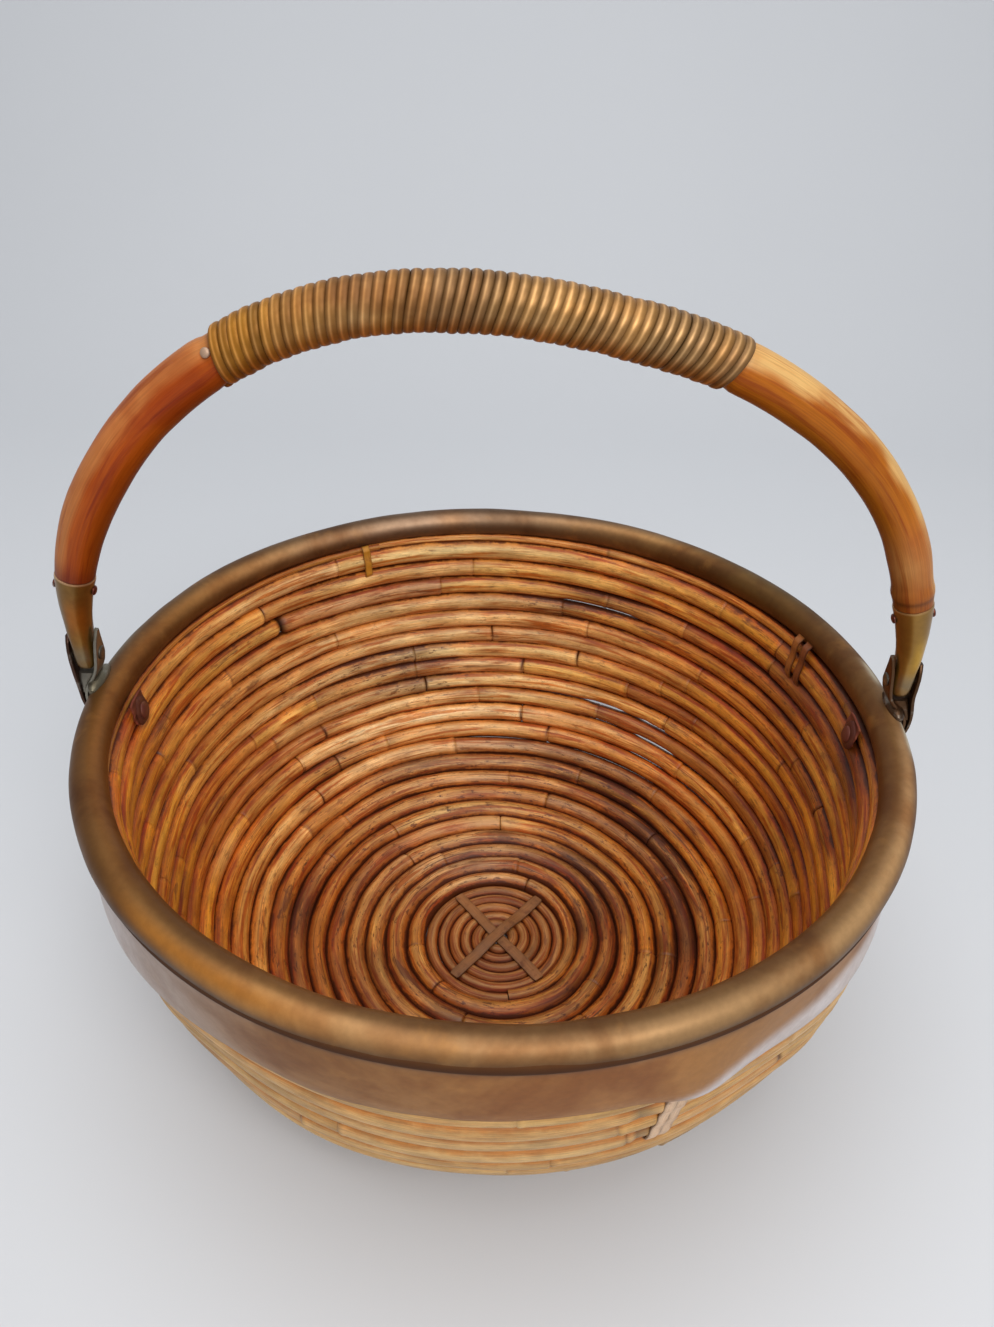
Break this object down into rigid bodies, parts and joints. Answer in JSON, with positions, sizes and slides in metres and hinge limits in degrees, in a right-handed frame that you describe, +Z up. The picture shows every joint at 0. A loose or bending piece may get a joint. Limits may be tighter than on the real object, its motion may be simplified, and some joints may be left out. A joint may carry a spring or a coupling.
{
  "type": "cane basket",
  "caption": "Round bowl basket coiled from cane, with a rolled brass rim and a bail handle of bent cane that swings on riveted brackets.",
  "frame": {"origin": "on the table under the middle of the bowl", "axes": "+Z up, X through both handle pivots, -Y towards the viewer of the picture"},
  "size_m": [0.3318, 0.3198, 0.3163],
  "materials": {
    "cane": "varnished honey-brown cane",
    "thin_cane": "varnished thin cane, darkened",
    "split_cane": "flat strips of split cane",
    "handle_cane": "polished orange-brown cane",
    "aged_brass": "aged brass, brown patina",
    "wrap_wire": "half-round brass wire, dulled",
    "dark_steel": "dark worn steel"
  },
  "bodies": {
    "basket": {"core_coil": "thin_cane", "bowl_cane_01": "cane", "bowl_cane_02": "cane", "bowl_cane_03": "cane", "bowl_cane_04": "cane", "bowl_cane_05": "cane", "bowl_cane_06": "cane", "bowl_cane_07": "cane", "bowl_cane_08": "cane", "bowl_cane_09": "cane", "bowl_cane_10": "cane", "rim_hoop": "cane", "rim_bead": "aged_brass", "rim_band": "aged_brass", "base_cross_lower": "split_cane", "base_cross_upper": "split_cane", "inner_tie_back": "split_cane", "inner_tie_right_1": "split_cane", "inner_tie_right_2": "split_cane", "outer_tie_front_1": "split_cane", "outer_tie_front_2": "split_cane", "bracket_left": "dark_steel", "bracket_right": "dark_steel", "bracket_rivet_left": "dark_steel", "bracket_rivet_right": "dark_steel", "rivet_washer_left": "dark_steel", "rivet_washer_right": "dark_steel", "pivot_pin_left": "dark_steel", "pivot_pin_right": "dark_steel"},
    "handle": {"handle_bow": "handle_cane", "handle_wrap": "wrap_wire", "ferrule_left": "aged_brass", "ferrule_right": "aged_brass", "ferrule_nail_left": "aged_brass", "ferrule_nail_right": "aged_brass", "wrap_tack_left": "aged_brass", "wrap_tack_right": "aged_brass"}
  },
  "joints": [
    {"name": "handle_swing", "type": "hinge", "parent": "basket", "child": "handle", "pos_m": [0, 0, 0.167], "axis": [1, 0, 0], "range_deg": [-91, 91]}
  ]
}
